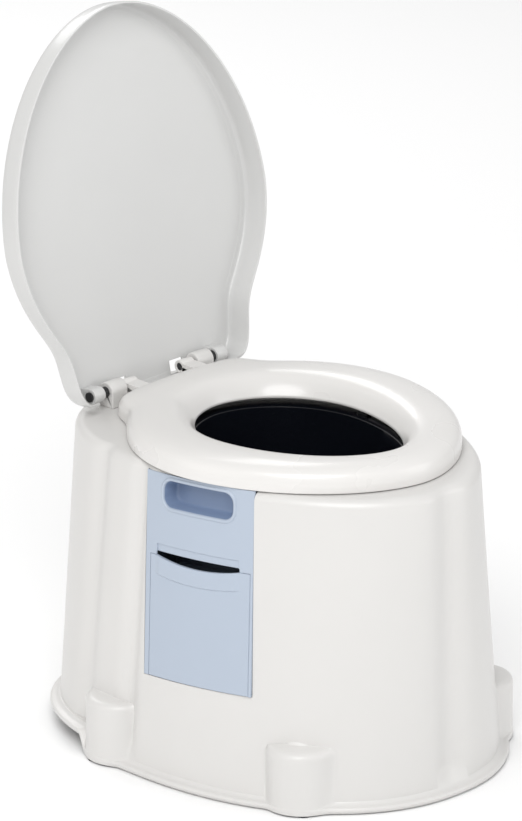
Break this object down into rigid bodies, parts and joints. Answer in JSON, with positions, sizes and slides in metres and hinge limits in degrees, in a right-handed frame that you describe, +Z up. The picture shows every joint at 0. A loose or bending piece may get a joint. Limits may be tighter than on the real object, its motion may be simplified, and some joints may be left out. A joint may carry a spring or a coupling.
{
  "type": "portable camp toilet",
  "caption": "Portable camp toilet with a hinged lid and seat over a lift-out bucket, moulded feet and a side paper drawer with a grip recess.",
  "frame": {"origin": "on the floor, under the middle of the whole object with its lid open", "axes": "+Z up, the user faces -Y, +X to the user's left, so the paper panel is on -X"},
  "size_m": [0.439, 0.5694, 0.7975],
  "materials": {
    "shell_plastic": "satin warm white moulded plastic",
    "seat_plastic": "smooth warm white moulded plastic",
    "lid_plastic": "smooth grey-white moulded plastic",
    "panel_plastic": "satin periwinkle blue plastic",
    "bucket_plastic": "gloss black plastic",
    "black_plastic": "gloss black plastic",
    "rubber": "matt black rubber",
    "steel": "plain zinc-plated steel"
  },
  "bodies": {
    "root": {"outer_shell": "shell_plastic", "rubber_pads": "rubber", "bucket": "bucket_plastic", "bail_lugs": "bucket_plastic", "bucket_bail": "steel", "bail_grip": "black_plastic", "hinge_post_left": "shell_plastic", "hinge_post_right": "shell_plastic", "hinge_post_screws": "steel", "hinge_pin_left": "black_plastic", "hinge_pin_right": "black_plastic", "hinge_collars": "black_plastic", "panel_frame": "panel_plastic", "grip_cup": "panel_plastic", "paper_housing": "panel_plastic", "panel_screws": "steel"},
    "seat": {"seat_ring": "seat_plastic", "seat_bumpers": "rubber", "seat_arm_left": "seat_plastic", "seat_arm_right": "seat_plastic", "seat_arm_screws": "steel"},
    "lid": {"lid_shell": "lid_plastic", "lid_ear_left": "lid_plastic", "lid_ear_right": "lid_plastic"},
    "drawer": {"paper_door": "panel_plastic", "paper_bin": "panel_plastic", "drawer_stops": "panel_plastic"}
  },
  "joints": [
    {"name": "lid_hinge", "type": "hinge", "parent": "root", "child": "lid", "pos_m": [0, 0.19, 0.374], "axis": [1, 0, 0], "range_deg": [0, 100.8]},
    {"name": "seat_hinge", "type": "hinge", "parent": "root", "child": "seat", "pos_m": [0, 0.19, 0.374], "axis": [-1, 0, 0], "range_deg": [0, 98]},
    {"name": "drawer_slide", "type": "slide", "parent": "root", "child": "drawer", "axis": [-0.9869, -0.1299, 0.0958], "range_m": [0, 0.04]}
  ]
}
